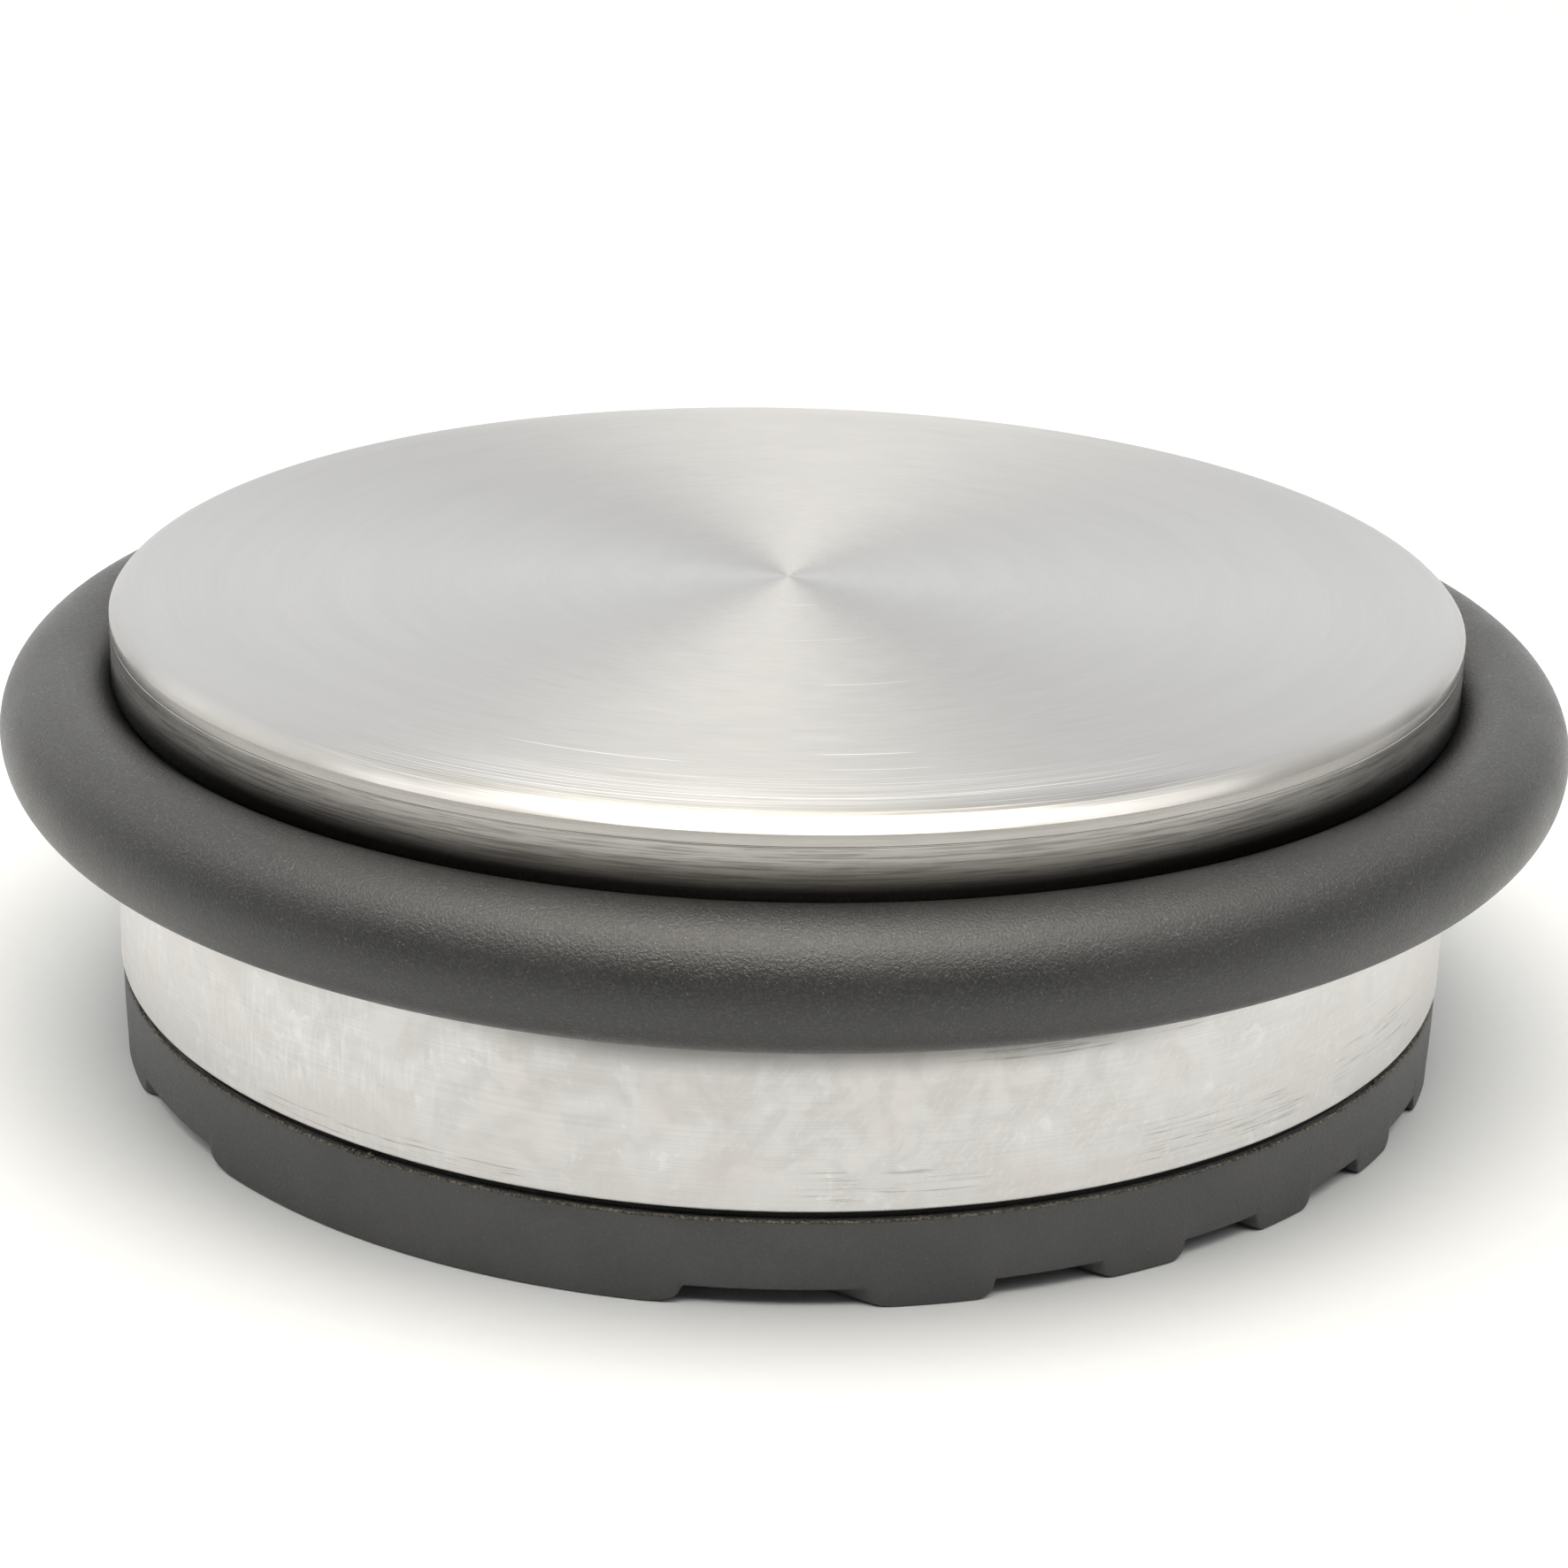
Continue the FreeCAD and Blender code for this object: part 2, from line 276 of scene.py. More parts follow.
# Colours of steel: the cap's painted shoulder shade, its wall's darker warmer copy (painted shade and
# painted warm reflection), its painted lit belt, and the band's blush and stains.
SHOULDER_SHADE_PAINT = (0.20, 0.19, 0.17, 1)
WARM_SHADED_STEEL = (0.42, 0.395, 0.36, 1)
LIT_BELT_PAINT = (0.90, 0.87, 0.82, 1)
BLUSH_STEEL = (0.65, 0.60, 0.59, 1)
STAINED_STEEL = (0.75, 0.735, 0.705, 1)

# Colours of rubber: the dust in its grain, and the olive of its torn edge.
GRAIN_DUST = (0.115, 0.11, 0.108, 1)
TORN_OLIVE = (0.21, 0.19, 0.14, 1)

# Scratches on the top, all in the front, whose near-white colour is a painted glint: radius in mm, first
# and last degree, strength.
TOP_SCRATCHES = (
    (35.3, -118, -97, 0.9), (39.3, -112, -92, 0.7), (40.15, -103, -66, 0.9), (33.3, -88, -76, 0.8),
    (35.8, -88, -75, 0.5), (21.4, -86, -68, 0.5), (13.0, -97, -62, 0.3), (6.1, -92, -69, 0.4),
    (38.4, -80, -52, 0.3), (37.6, -106, -95, 0.5), (38.3, -116, -104, 0.4), (41.0, -118, -88, 0.5),
)


def scratch_glints(n, y, radius, face):
    """The single scratches, and bundles of thin lines near the front edge of the face: real scratches,
    painted bright as glints.
    """
    arcs = 0.0
    for place, start, end, strength in TOP_SCRATCHES:
        mark = n.math("MULTIPLY", arc_mark(n, place, start, end), strength)
        arcs = n.math("MAXIMUM", arcs, mark)
    # Thin lines in the front only, painted bright as glints.
    glint_lines = n.ramp(n.noise(n.polar(1.3, 12.0), detail=2, roughness=0.7), 0.52, 0.68)
    glint_lines = n.math("MULTIPLY", glint_lines, n.ramp(radius, 35, 40, 0.1, 0.8))
    glint_lines = n.math("MULTIPLY", glint_lines, n.ramp(y, -38, -31, 1.0, 0.0))
    return n.math("MULTIPLY", n.math("MAXIMUM", arcs, glint_lines), face)


def face_colour(n, fine, threads, sector):
    """The brushed face: even grey, with fine streaks in the front and back sectors."""
    coarse = n.noise(n.polar(1.6, 0.5), detail=3)
    streaks = n.math("MULTIPLY", n.ramp(fine, 0.3, 0.7), sector)
    shade = n.mix(streaks, grey(0.51, 0.005), grey(0.545, 0.005))
    shade = n.mix(n.ramp(coarse, 0.35, 0.65, 0.0, 0.4), shade, grey(0.55, 0.012))
    thread_share = n.math("MULTIPLY", n.ramp(threads, 0.44, 0.62), n.math("MULTIPLY", sector, 0.2))
    return n.mix(thread_share, shade, grey(0.36, 0.05))


def wall_colour(n, shade, y, height, threads, face):
    """Below the face: painted shade on the front of the shoulder, a darker warmer copy of the steel on the
    wall as painted shade, a painted lit belt, streaks under the line, and painted shade by the ring.
    """
    top = CAP_TOP / MM
    bottom = CAP_BOTTOM / MM
    side = n.math("MULTIPLY_ADD", face, -1.0, 1.0)
    # Painted shade: the front of the edge's top is darkened to dim its highlight.
    shoulder_shade = window(n, height, top - 0.27, 0.06, 0.09)
    shoulder_shade = n.math("MULTIPLY", shoulder_shade, n.ramp(y, -40, -33, 0.25, 0.0))
    shade = n.mix(shoulder_shade, shade, SHOULDER_SHADE_PAINT)
    # Painted shade and painted warm reflection: the wall gets a darker, warmer copy of the face's steel
    # colour.
    shade = n.mix(side, shade, n.mix(0.5, shade, WARM_SHADED_STEEL))
    # Painted reflection: a near-white belt on the wall where it mirrors the lit floor.
    lit_belt = window(n, height, bottom + 2.3, 0.2, 0.55)
    shade = n.mix(n.math("MULTIPLY", lit_belt, 0.65), shade, LIT_BELT_PAINT)
    below_line = n.ramp(height, top - 2.1, top - 1.6, 1.0, 0.12)
    streaks = n.math("MULTIPLY", n.ramp(threads, 0.44, 0.64), n.math("MULTIPLY", side, below_line))
    shade = n.mix(n.math("MULTIPLY", streaks, 0.45), shade, grey(0.12, 0.06))
    # Painted shade: the wall darkens to near black at its foot by the ring.
    outside_ring_shade = n.ramp(height, bottom + 0.7, bottom + 1.85, 0.04, 1.0)
    return n.mix(outside_ring_shade, grey(0.02, 0.05), shade)


def brushed_top():
    """Circular brushing: tangential micro-grooves, loose arcs of scratches with painted glints, and painted
    shade by the ring.
    """
    n = Nodes("brushed_top")
    fine = n.noise(n.polar(5.0, 8.0), detail=3, roughness=0.6)
    threads = n.noise(n.polar(9.0, 8.0, 7.0), detail=2, roughness=0.6)
    x, y, height = n.split(n.position())
    face = n.ramp(height, CAP_TOP / MM - 1.1, CAP_TOP / MM - 0.2)
    radius = n.axis_distance(x, y)
    lean = n.math("ABSOLUTE", n.math("DIVIDE", y, n.math("MAXIMUM", radius, 0.1)))
    shade = face_colour(n, fine, threads, n.ramp(lean, 0.55, 0.9))
    # Painted glints: the scratches mixed to near white.
    shade = n.mix(scratch_glints(n, y, radius, face), shade, grey(0.98, 0.01))
    shade = wall_colour(n, shade, y, height, threads, face)
    wall_share = n.ramp(height, CAP_TOP / MM - 1.7, CAP_TOP / MM - 0.9, 0.6, 1.0)
    rough = n.math("MULTIPLY", n.ramp(fine, 0.3, 0.7, 0.31, 0.36), wall_share)
    tangent = n.add("ShaderNodeTangent", direction_type="RADIAL", axis="Z")
    n.set(
        Base_Color=shade, Roughness=rough, Metallic=1.0, Anisotropic=0.8, Anisotropic_Rotation=0.25,
        Tangent=tangent, Normal=n.bump(fine, 0.000005, n.ramp(lean, 0.4, 0.9, 0.15, 1.0)),
    )
    return n.material


# Where thin dark lines score the band: degrees from the front, half width, height and half height in mm.
SCORED_PLACES = (
    (9, 5, 7.9, 0.9), (38, 7, 8.3, 1.1), (58, 6, 9.0, 1.0),
    (24, 9, 15.8, 0.6), (-26, 5, 7.2, 0.4), (-38, 5, 7.0, 0.3),
)


def slanting_rubs(n, turned, height):
    """Short pale rub marks that slant across the band, to the right of the front."""
    along = n.math("MULTIPLY", turned, math.radians(BODY_RADIUS / MM))
    slant = n.math("MULTIPLY_ADD", height, -0.75, along)
    rise = n.math("MULTIPLY_ADD", along, 0.35, height)
    place = n.add("ShaderNodeCombineXYZ", inputs={0: n.math("MULTIPLY", slant, 3.4), 1: rise})
    rubs = n.ramp(n.noise(place, detail=2, roughness=0.6), 0.52, 0.66)
    return n.math("MULTIPLY", rubs, window(n, turned, 26, 22, 16))


def dark_cuts(n, turned, height):
    """Thin dark lines, only in the scored places."""
    scored = 0.0
    for middle, reach, level, spread in SCORED_PLACES:
        sideways = window(n, turned, middle, reach, 3)
        spot = n.math("MULTIPLY", sideways, window(n, height, level, spread, 0.3))
        scored = n.math("MAXIMUM", spot, scored)
    cuts = n.ramp(n.noise(n.polar(9.0, 1.0, 11.0), detail=2, roughness=0.6), 0.57, 0.66)
    return n.math("MULTIPLY", cuts, scored)


def comb_streaks(n, comb, turned):
    """Fine upright streaks in patches, strongest at the left of the band."""
    patches = n.ramp(n.noise(n.polar(4.0, 1.0, 0.15), detail=2), 0.45, 0.58)
    patches = n.math("MULTIPLY", patches, n.ramp(turned, -30, -8, 1.0, 0.25))
    return n.math("MULTIPLY", n.ramp(comb, 0.45, 0.62), n.math("MULTIPLY", patches, 0.3))


def band_colour(n, lines, comb, stains, turned, height):
    """The band's steel, from its level lines to the shade under the ring, one layer over the other."""
    spots = n.noise(n.position(), scale=0.9, detail=4, roughness=0.6, distortion=0.4)
    blush = n.noise(n.position(), scale=0.17, detail=3)
    shade = n.mix(n.ramp(lines, 0.3, 0.7), grey(0.61, 0.014), grey(0.67, 0.014))
    shade = n.mix(comb_streaks(n, comb, turned), shade, grey(0.78))
    shade = n.mix(n.ramp(blush, 0.5, 0.62, 0.0, 0.4), shade, BLUSH_STEEL)
    shade = n.mix(n.ramp(stains, 0.53, 0.58, 0.0, 0.3), shade, STAINED_STEEL)
    dried = n.math("MULTIPLY", n.ramp(spots, 0.56, 0.64, 0.0, 0.4), n.ramp(blush, 0.40, 0.52, 1.0, 0.1))
    shade = n.mix(dried, shade, grey(0.80, 0.01))
    rubs = n.math("MULTIPLY", slanting_rubs(n, turned, height), n.ramp(stains, 0.40, 0.60, 0.05, 0.35))
    shade = n.mix(rubs, shade, grey(0.80, 0.01))
    shade = n.mix(n.math("MULTIPLY", dark_cuts(n, turned, height), 0.5), shade, grey(0.14))
    # Painted shade under the ring, on the front of the band.
    shade_under_ring = n.ramp(height, RING_BOTTOM / MM - 3.5, RING_BOTTOM / MM - 1.3, 0.0, 0.7)
    return n.mix(n.math("MULTIPLY", shade_under_ring, window(n, turned, 4, 16, 20)), shade, grey(0.02, 0.1))


def brushed_band():
    """Drawn sheet: faint level lines, comb streaks, slanting rub marks, dried stains, dark scratches, and
    painted shade under the ring.
    """
    n = Nodes("brushed_band")
    x, y, height = n.split(n.position())
    turned = n.math("DEGREES", n.math("ARCTAN2", x, n.math("MULTIPLY", y, -1.0)))
    lines = n.noise(n.polar(6.0, 1.0, 12.0), detail=3, roughness=0.6)
    comb = n.noise(n.polar(130.0, 1.0, 0.5), detail=2, roughness=0.6)
    stains = n.noise(n.position(), scale=0.30, detail=5, roughness=0.62, distortion=0.8)
    tangent = n.add("ShaderNodeTangent", direction_type="RADIAL", axis="Z")
    relief = n.math("ADD", lines, n.math("MULTIPLY", comb, 0.4))
    n.set(
        Base_Color=band_colour(n, lines, comb, stains, turned, height),
        Roughness=n.ramp(stains, 0.4, 0.65, 0.34, 0.46), Metallic=1.0,
        Anisotropic=0.5, Anisotropic_Rotation=0.25, Tangent=tangent, Normal=n.bump(relief, 0.000004),
    )
    return n.material


def rubber(name, level, roughness, specular, dust):
    """Moulded rubber: fine dense grain, faint cloudy wear and tiny pale specks of dust."""
    n = Nodes(name)
    grain = n.noise(n.position(), scale=5.5, detail=3, roughness=0.75)
    cloud = n.noise(n.position(), scale=0.15, detail=4)
    specks = n.ramp(n.noise(n.position(), scale=6.5, detail=1), 0.66, 0.8)
    shade = n.mix(n.ramp(cloud, 0.35, 0.65), grey(level * 0.9, -0.03), grey(level * 1.2, 0.0))
    shade = n.mix(n.ramp(grain, 0.45, 0.7, 0.0, dust), shade, GRAIN_DUST)
    shade = n.mix(n.math("MULTIPLY", specks, dust), shade, grey(0.35, 0.03))
    rough = n.ramp(cloud, 0.35, 0.65, roughness, roughness + 0.06)
    rough = n.math("ADD", rough, n.ramp(grain, 0.4, 0.7, 0.04, -0.06))
    n.set(Base_Color=shade, Roughness=rough, Normal=n.bump(grain, 0.00008, 0.8))
    n.set(Specular_IOR_Level=specular)
    return n.material


def torn_rubber():
    """The flash: rubber of the sole's colour, crumbled to a dusty olive at its ragged edge."""
    n = Nodes("torn_rubber")
    crumble = n.noise(n.position(), scale=5.0, detail=3, roughness=0.7)
    shade = n.mix(n.ramp(crumble, 0.42, 0.66), grey(0.035, 0.02), TORN_OLIVE)
    n.set(Base_Color=shade, Roughness=0.75, Normal=n.bump(crumble, 0.00004))
    return n.material


def hidden_steel(name, level):
    """Plain rolled steel for the parts inside."""
    n = Nodes(name)
    mill = n.noise(n.vector("MULTIPLY", n.position(), (0.3, 6.0, 1.0)), detail=3)
    shade = n.mix(n.ramp(mill, 0.3, 0.7), grey(level * 0.8), grey(level * 1.1))
    n.set(Base_Color=shade, Roughness=n.ramp(mill, 0.3, 0.7, 0.4, 0.55), Metallic=1.0)
    return n.material


def floor_paper():
    """Pale paper with a barely visible tooth."""
    n = Nodes("floor_paper")
    tooth = n.noise(n.position(), scale=0.6, detail=3)
    shade = n.mix(tooth, grey(0.62, -0.025), grey(0.64, -0.025))
    n.set(Base_Color=shade, Roughness=0.9, Normal=n.bump(tooth, 0.00002, 0.2))
    return n.material


# ---------------------------------------------------------------- pieces


def make_cap(material):
    """The drawn cup: the flat top rolls off into a bevelled edge, and a fine line is cut below it."""
    inner = BODY_RADIUS - SHEET
    turn = math.radians(EDGE_START)
    edge_end = math.radians(EDGE_END)
    centre_r = BODY_RADIUS - EDGE_RADIUS * math.sin(edge_end)
    centre_z = CAP_TOP - CROWN_DROP - EDGE_RADIUS * math.cos(turn)
    crown_end = centre_r + EDGE_RADIUS * math.sin(turn)
    outline = [(0, CAP_TOP)]
    outline += [(CROWN_START * share / 8, CAP_TOP) for share in range(1, 9)]
    for step in range(1, 12):
        share = step / 12
        outline.append((CROWN_START + (crown_end - CROWN_START) * share, CAP_TOP - CROWN_DROP * share ** 2))
    outline += arc(centre_r, centre_z, EDGE_RADIUS, 90 - EDGE_START, 90 - EDGE_END, 14)
    line_top = CAP_TOP - LINE_DROP
    edge_r, crease = outline[-1]
    outline.insert(-1, (edge_r - CREASE * math.cos(edge_end), crease + CREASE * math.sin(edge_end)))
    outline += [
        (BODY_RADIUS, crease - CREASE),
        (BODY_RADIUS, crease - 2 * CREASE),
        (BODY_RADIUS, line_top + CREASE),
        (BODY_RADIUS, line_top),
        (BODY_RADIUS - LINE_DEPTH, line_top - LINE_WIDTH / 2),
        (BODY_RADIUS, line_top - LINE_WIDTH),
        (BODY_RADIUS, line_top - LINE_WIDTH - CREASE),
    ]
    outline += arc(BODY_RADIUS - RIM_ROUND, CAP_BOTTOM + RIM_ROUND, RIM_ROUND, 0, -90, 4)
    outline += arc(inner + RIM_ROUND, CAP_BOTTOM + RIM_ROUND, RIM_ROUND, -90, -180, 4)
    outline += [(inner, crease - SHEET), (crown_end - SHEET, CAP_TOP - SHEET), (0, CAP_TOP - SHEET)]
    vertices, faces = lathe(outline)
    cap = new_object("cap_shell", vertices, faces, material, "top_cap")
    for edge in cap.data.edges:
        if all(abs(cap.data.vertices[corner].co.z - crease) < CREASE / 10 for corner in edge.vertices):
            edge.use_edge_sharp = True
    return cap


def make_band(material):
    """The drawn pan: a plain wall with a tight bottom edge, and the floor with its screw dimple."""
    inner = BODY_RADIUS - SHEET
    head = outer_radius("clamp_screw")
    hole = SCREW_HOLE_RADIUS
    rise = SHEET * math.sqrt(2)
    outline = arc(BODY_RADIUS - RIM_ROUND, PAN_TOP - RIM_ROUND, RIM_ROUND, 0, 90, 4)
    outline += arc(inner + RIM_ROUND, PAN_TOP - RIM_ROUND, RIM_ROUND, 90, 180, 4)
    outline += [
        (inner, PAN_BOTTOM + SHEET),
        (head + rise - SHEET, PAN_BOTTOM + SHEET),
        (hole, PAN_BOTTOM + head - hole + rise),
        (hole, PAN_BOTTOM + head - hole),
        (head, PAN_BOTTOM),
    ]
    corner = PAN_EDGE_RADIUS
    outline += arc(BODY_RADIUS - corner, PAN_BOTTOM + corner, corner, -90, 0, 8)
    vertices, faces = lathe(outline)
    return new_object("band_shell", vertices, faces, material, "base_pan")


def make_ring(material):
    """The bumper ring as a closed round section."""
    middle = RING_OUTER - RING_SECTION
    outline = arc(middle, RING_MIDDLE, RING_SECTION, 0, 360, 96)[:-1]
    vertices, faces = lathe(outline)
    return new_object("ring_rubber", vertices, faces, material, "bumper_ring")


TREAD_PITCH = 10.35 * MM
TREAD_GAP = 5.5 * MM
TREAD_REACH = 39.4 * MM
TREAD_DEPTH = 1.2 * MM
TREAD_ANGLE = math.radians(-30)
TREAD_COUNT = 8
BAR_ROUND = 0.8 * MM
ROOT_WIDTH = 0.1 * MM
ROW_GAP = 0.02 * MM
ROW_COLUMNS = 24
SOLE_ROUND = 0.2 * MM
SOLE_TAPER = 0.1 * MM
SOLE_CHAMFER = 0.15 * MM
# Nearer the rim than this share of the radius, the rounding goes straight out and not along the bars.
ALONG_BARS = 0.93


def groove_inset(across):
    """How far a line across the tread lies inside the nearest groove, or minus how far outside it."""
    nearest = -1.0
    for groove in range(TREAD_COUNT):
        start = groove * TREAD_PITCH - TREAD_REACH
        nearest = max(nearest, min(across - start, start + TREAD_GAP - across))
    return nearest


def tread_height(across):
    """Height of the sole's underside on a line across the tread: round-cornered bars, steep walls."""
    inset = groove_inset(across)
    if inset < -BAR_ROUND:
        return 0.0
    if inset <= 0:
        return BAR_ROUND - math.sqrt(BAR_ROUND ** 2 - (inset + BAR_ROUND) ** 2)
    return BAR_ROUND + (TREAD_DEPTH - BAR_ROUND) * min(inset / ROOT_WIDTH, 1)


def tread_stations(radius):
    """Distances across the tread where the mesh needs a row: each groove wall, and the round rim."""
    stations = {round(radius * math.sin(math.radians(angle)), 7) for angle in range(-90, 91, 2)}
    insets = [BAR_ROUND * (math.sin(math.radians(angle)) - 1) for angle in (0, 18, 36, 54, 72, 90)]
    insets.append(ROOT_WIDTH)
    for groove in range(TREAD_COUNT):
        start = groove * TREAD_PITCH - TREAD_REACH
        for inset in insets:
            for place in (start + inset, start + TREAD_GAP - inset):
                if abs(place) < radius:
                    stations.add(round(place, 7))
    kept = []
    for place in sorted(stations):
        if not kept or place - kept[-1] > ROW_GAP:
            kept.append(place)
    kept[-1] = radius
    return kept


def make_sole(material):
    """The moulded sole: rows along the tread bars below, and a round wall that follows their ends."""
    inner = SOLE_RADIUS - SOLE_TAPER - SOLE_ROUND
    stations = tread_stations(inner)
    turn = Matrix.Rotation(TREAD_ANGLE, 3, "Z")
    vertices = []
    grid = []
    for across in stations:
        half = math.sqrt(max(inner * inner - across * across, 0))
        row = []
        for column in range(ROW_COLUMNS + 1):
            along = half * math.sin(math.pi / 2 * (2 * column / ROW_COLUMNS - 1))
            row.append(len(vertices))
            vertices.append(Vector((along, across, tread_height(across))))
            if half == 0:
                row = row * (ROW_COLUMNS + 1)
                break
        grid.append(row)
    faces = []
    for low, high in zip(grid, grid[1:]):
        for column in range(ROW_COLUMNS):
            corners = [low[column], high[column], high[column + 1], low[column + 1]]
            face = [c for place, c in enumerate(corners) if c not in corners[:place]]
            if len(face) > 2:
                faces.append(face)
    rim = [row[-1] for row in grid] + [row[0] for row in reversed(grid[1:-1])]
    loop = rim
    for angle in (22.5, 45, 67.5, 90):
        out = SOLE_ROUND * math.sin(math.radians(angle))
        up = SOLE_ROUND * (1 - math.cos(math.radians(angle)))
        loop = add_loop(vertices, faces, rim, loop, inner + out, up)
    wall_top = SOLE_TOP - SOLE_CHAMFER
    for step in (0.35, 0.7, 1.0):
        loop = add_wall_loop(vertices, faces, loop, step, wall_top)
    loop = add_wall_loop(vertices, faces, loop, 1.0, SOLE_TOP, SOLE_RADIUS - SOLE_CHAMFER)
    centre = len(vertices)
    vertices.append(Vector((0, 0, SOLE_TOP)))
    for place, corner in enumerate(loop):
        faces.append([corner, loop[(place + 1) % len(loop)], centre])
    placed = [turn @ vertex for vertex in vertices]
    return new_object("sole_rubber", placed, faces, material, "rubber_sole")


def join_loops(faces, below, above):
    for place in range(len(below)):
        after = (place + 1) % len(below)
        faces.append([below[place], below[after], above[after], above[place]])


def add_loop(vertices, faces, rim, below, radius, up):
    """Adds one loop of the rounded bottom edge. It keeps each bar's line straight to the wall."""
    loop = []
    for index in rim:
        point = vertices[index]
        across = point.y
        if abs(across) < ALONG_BARS * radius:
            along = math.copysign(math.sqrt(radius * radius - across * across), point.x)
        else:
            scale = radius / math.hypot(point.x, point.y)
            along = point.x * scale
            across = point.y * scale
        loop.append(len(vertices))
        vertices.append(Vector((along, across, tread_height(across) + up)))
    join_loops(faces, below, loop)
    return loop


def add_wall_loop(vertices, faces, below, share, top, radius=None):
    """Adds one loop of the side wall, part of the way from the loop below up to the top."""
    loop = []
    for index in below:
        point = vertices[index]
        height = point.z + (top - point.z) * share
        flat = math.hypot(point.x, point.y)
        wanted = radius or SOLE_RADIUS - SOLE_TAPER * (1 - height / SOLE_TOP)
        loop.append(len(vertices))
        vertices.append(Vector((point.x * wanted / flat, point.y * wanted / flat, height)))
    join_loops(faces, below, loop)
    return loop


FLASH_STEPS = 1800
FLASH_WIDTH = 0.3 * MM
FLASH_HEIGHT = 0.14 * MM
FLASH_ROOT = 0.1 * MM
LIP_SLOPE = 0.03 * MM
LIP_WANDER = 0.05 * MM
CRUMB_COUNT = 900
CRUMB_SIZE = 0.045 * MM
# Where the flash is torn: middle and half width in degrees, number of crumbs, size against the rest.
TORN_PLACES = (
    (-124.0, 2.2, 60, 2.2), (-48.3, 2.6, 70, 2.2), (-31.3, 1.0, 26, 3.0), (-75.0, 30.0, 260, 1.1),
)


def flash_lip(vertices, faces):
    """The thin ragged lip that the mould left standing round the sole's top edge."""
    base = SOLE_TOP - FLASH_ROOT
    inner = SOLE_RADIUS - FLASH_WIDTH
    loops = []
    for step in range(FLASH_STEPS):
        angle = 2 * math.pi * step / FLASH_STEPS
        way = Vector((math.cos(angle), math.sin(angle), 0))
        ragged = abs(noise.noise(way * 160)) + 0.6 * abs(noise.noise(way * 420))
        swell = max(noise.noise(way * 12), 0)
        top = base + FLASH_HEIGHT * (0.7 + 0.8 * ragged + 1.2 * swell * ragged)
        outer = SOLE_RADIUS + LIP_WANDER * (noise.noise(way * 90 + Vector((0, 0, 4))) - 0.2)
        section = ((inner, base), (outer, base), (outer - LIP_SLOPE, top), (inner, top - LIP_SLOPE))
        loop = []
        for radius, height in section:
            loop.append(len(vertices))
            vertices.append(way * radius + Vector((0, 0, height)))
        loops.append(loop)
    for place, loop in enumerate(loops):
        after = loops[(place + 1) % FLASH_STEPS]
        for corner in range(4):
            other = (corner + 1) % 4
            faces.append([loop[corner], after[corner], after[other], loop[other]])


def add_crumb(vertices, faces, centre, size, draw):
    """A torn crumb of rubber: an octahedron with each corner pulled out by a different amount."""
    first = len(vertices)
    for axis in range(3):
        for sign in (1, -1):
            corner = Vector((0, 0, 0))
            corner[axis] = sign * size * draw.uniform(0.5, 1.4)
            vertices.append(centre + corner)
    for across in (0, 1):
        for along in (2, 3):
            for up in (4, 5):
                face = [first + across, first + along, first + up]
                if (across + along + up) % 2:
                    face.reverse()
                faces.append(face)


def make_flash(material):
    """Moulding flash on the sole's top edge: a ragged lip, strewn with crumbs and torn in places."""
    draw = random.Random(11)
    vertices = []
    faces = []
    flash_lip(vertices, faces)
    spots = [(draw.uniform(-180, 180), 1.0) for _ in range(CRUMB_COUNT)]
    for middle, reach, count, swell in TORN_PLACES:
        spots += [(draw.gauss(middle, reach / 2), swell) for _ in range(count)]
    for degrees, swell in spots:
        angle = math.radians(degrees)
        size = CRUMB_SIZE * swell * draw.uniform(0.4, 1.3)
        out = SOLE_RADIUS - size * draw.uniform(0.2, 2.0)
        height = SOLE_TOP + draw.uniform(-0.9, 1.2) * size
        centre = Vector((out * math.cos(angle), out * math.sin(angle), height))
        add_crumb(vertices, faces, centre, size, draw)
    return new_object("sole_flash", vertices, faces, material)


# ---------------------------------------------------------------- stage


FLOOR_HALF = 2.5


def make_floor(material):
    mesh = bpy.data.meshes.new("floor")
    half = FLOOR_HALF
    corners = [(-half, -half, 0), (half, -half, 0), (half, half, 0), (-half, half, 0)]
    mesh.from_pydata(corners, [], [(0, 1, 2, 3)])
    mesh.materials.append(material)
    floor = bpy.data.objects.new("floor", mesh)
    bpy.context.scene.collection.objects.link(floor)


LAMP_DISTANCE = 1.0

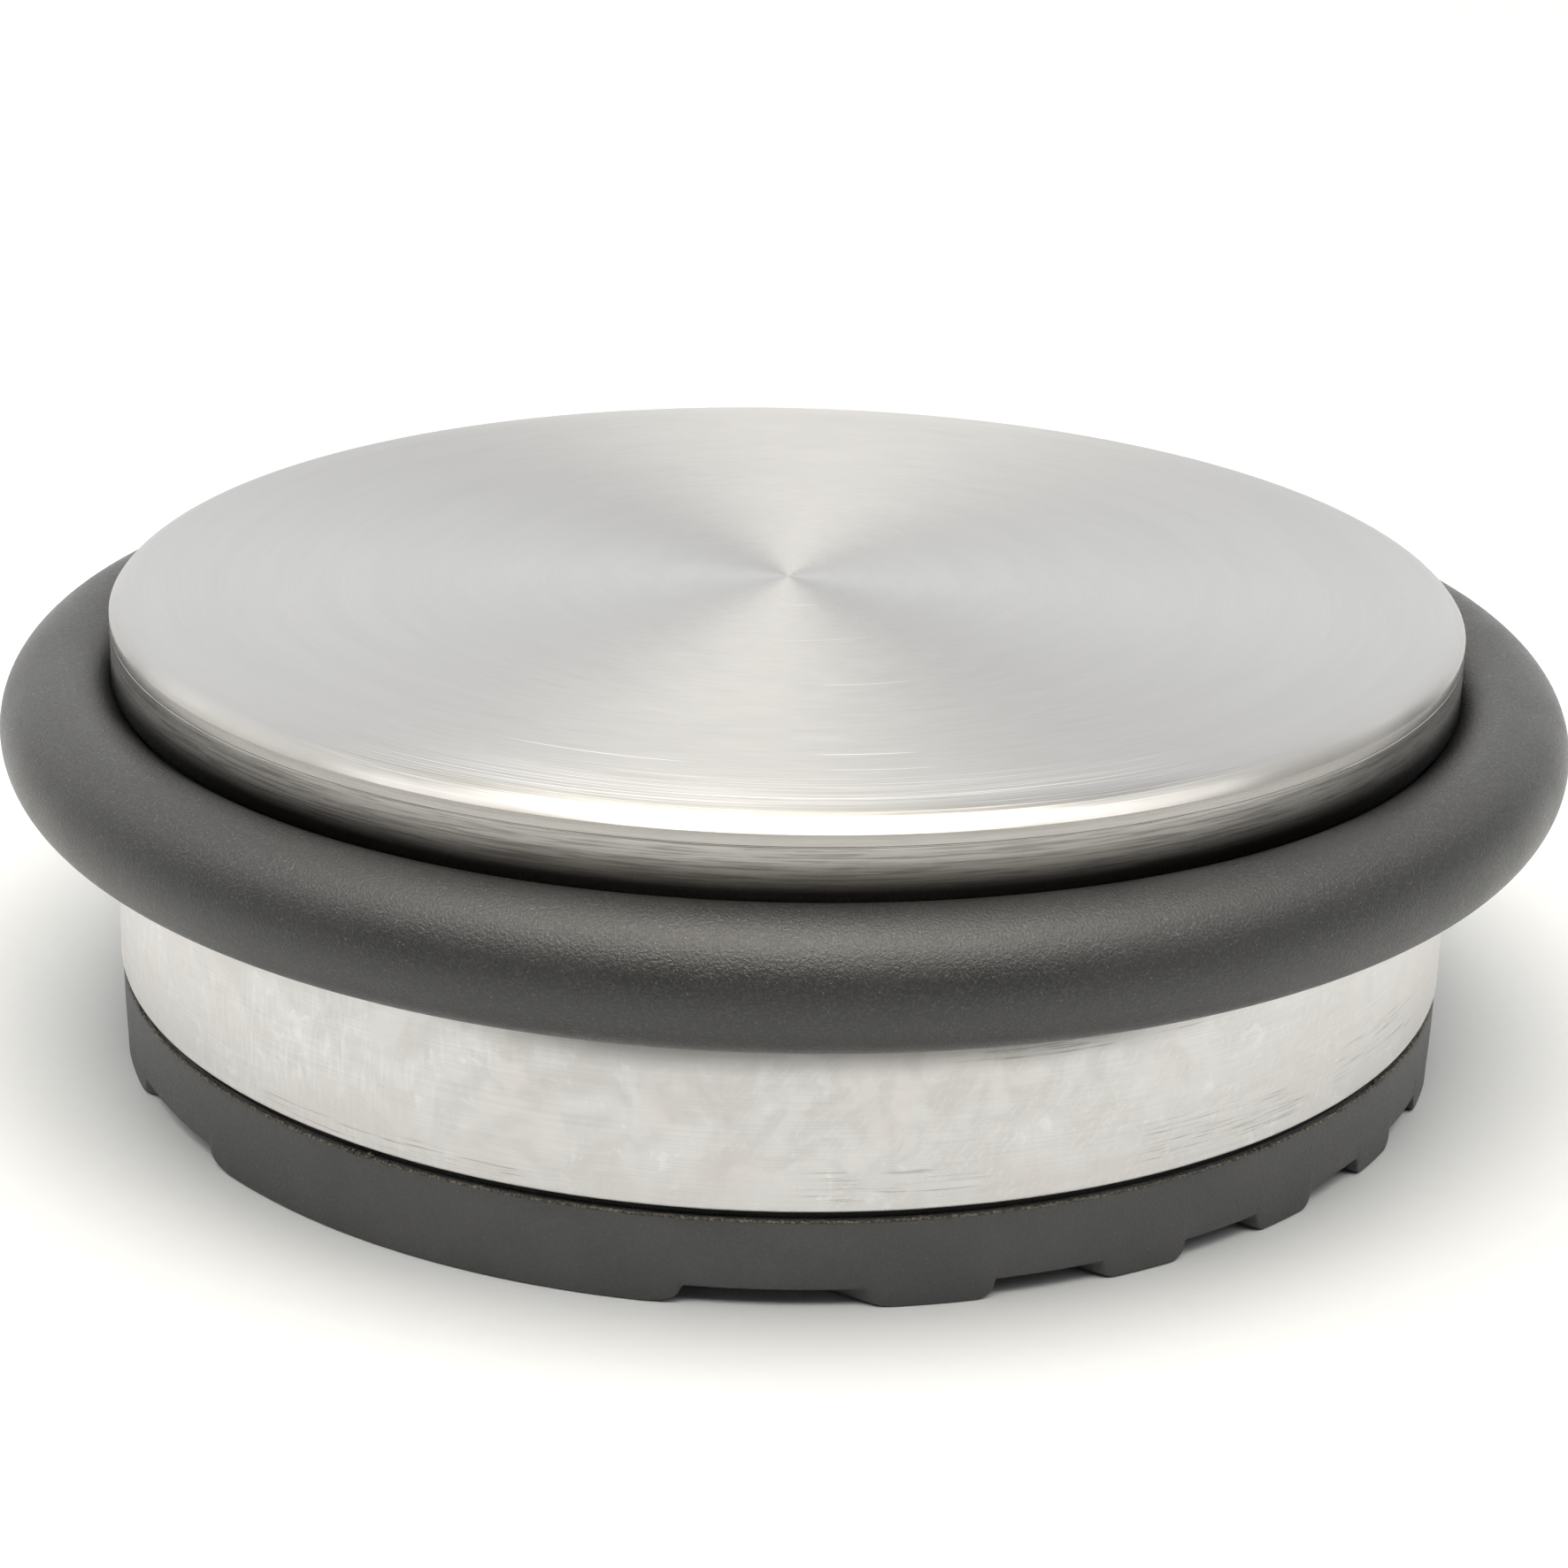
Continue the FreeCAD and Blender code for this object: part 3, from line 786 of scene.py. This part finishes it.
# Each softbox: degrees across from the middle (+X is right), degrees along the arc that rises behind
# the object (0 is the horizon behind, 90 overhead, 180 the horizon in front), width and height in
# metres, radiance, colour.
SOFTBOXES = {
    "back": (0, 22, 2.2, 0.8, 0.96, (0.985, 0.985, 0.98)),
    "back_strip": (-6, 58, 0.34, 0.34, 2.3, (1.0, 0.96, 0.86)),
    "shoulder_left": (-37, 60, 0.66, 0.5, 1.05, (1.0, 0.98, 0.93)),
    "shoulder_right": (35, 62, 0.6, 0.6, 0.85, (1.0, 0.97, 0.92)),
    "overhead": (0, 105, 0.9, 0.84, 6.5, (1.0, 0.955, 0.86)),
    "wing_left": (-39, 108, 0.45, 0.6, 2.5, (1.0, 0.98, 0.95)),
    "wing_right": (39, 109, 0.45, 0.74, 2.7, (1.0, 0.98, 0.95)),
    "side_left": (-64, 70, 0.5, 1.1, 0.95, (1.0, 0.99, 0.97)),
    "side_right": (72, 85, 0.6, 1.0, 0.5, (1.0, 1.0, 1.0)),
}
WORLD_RADIANCE = 0.13


def softbox(name, across, along, width, height, radiance, colour):
    """A rectangular lamp on the studio's dome that faces the object with about that radiance."""
    data = bpy.data.lights.new(name, "AREA")
    data.shape = "RECTANGLE"
    data.size = width
    data.size_y = height
    data.energy = radiance * math.pi * width * height
    data.color = colour
    lamp = bpy.data.objects.new(name, data)
    turn = Matrix.Rotation(math.radians(along - 90), 4, "X") @ Matrix.Rotation(math.radians(across), 4, "Y")
    lamp.matrix_world = turn @ Matrix.Translation((0, 0, LAMP_DISTANCE))
    bpy.context.scene.collection.objects.link(lamp)


def make_light():
    for name, settings in SOFTBOXES.items():
        softbox(name, *settings)
    world = bpy.data.worlds.new("studio")
    world.use_nodes = True
    background = world.node_tree.nodes["Background"]
    background.inputs["Color"].default_value = (0.97, 0.98, 1.0, 1)
    background.inputs["Strength"].default_value = WORLD_RADIANCE
    bpy.context.scene.world = world


def finish_inner_parts():
    """Gives the CAD solids that no piece replaces their materials."""
    weight = hidden_steel("weight_steel", 0.35)
    fitting = hidden_steel("screw_steel", 0.5)
    film = rubber("adhesive_film", level=0.012, roughness=0.8, specular=0.3, dust=0.1)
    finishes = {
        "upper_weight": weight, "groove_disc": weight, "lower_weight": weight,
        "cap_boss": fitting, "clamp_screw": fitting,
        "sole_adhesive": film, "damping_disc": film,
    }
    for node, finish in finishes.items():
        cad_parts[node].data.materials.clear()
        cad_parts[node].data.materials.append(finish)


make_camera()
make_light()
make_floor(floor_paper())
make_cap(brushed_top())
make_band(brushed_band())
make_ring(rubber("ring_rubber", level=0.004, roughness=0.3, specular=0.7, dust=0.2))
make_sole(rubber("sole_rubber", level=0.045, roughness=0.48, specular=0.68, dust=0.12))
make_flash(torn_rubber())
finish_inner_parts()

bpy.context.scene.view_settings.view_transform = "Standard"
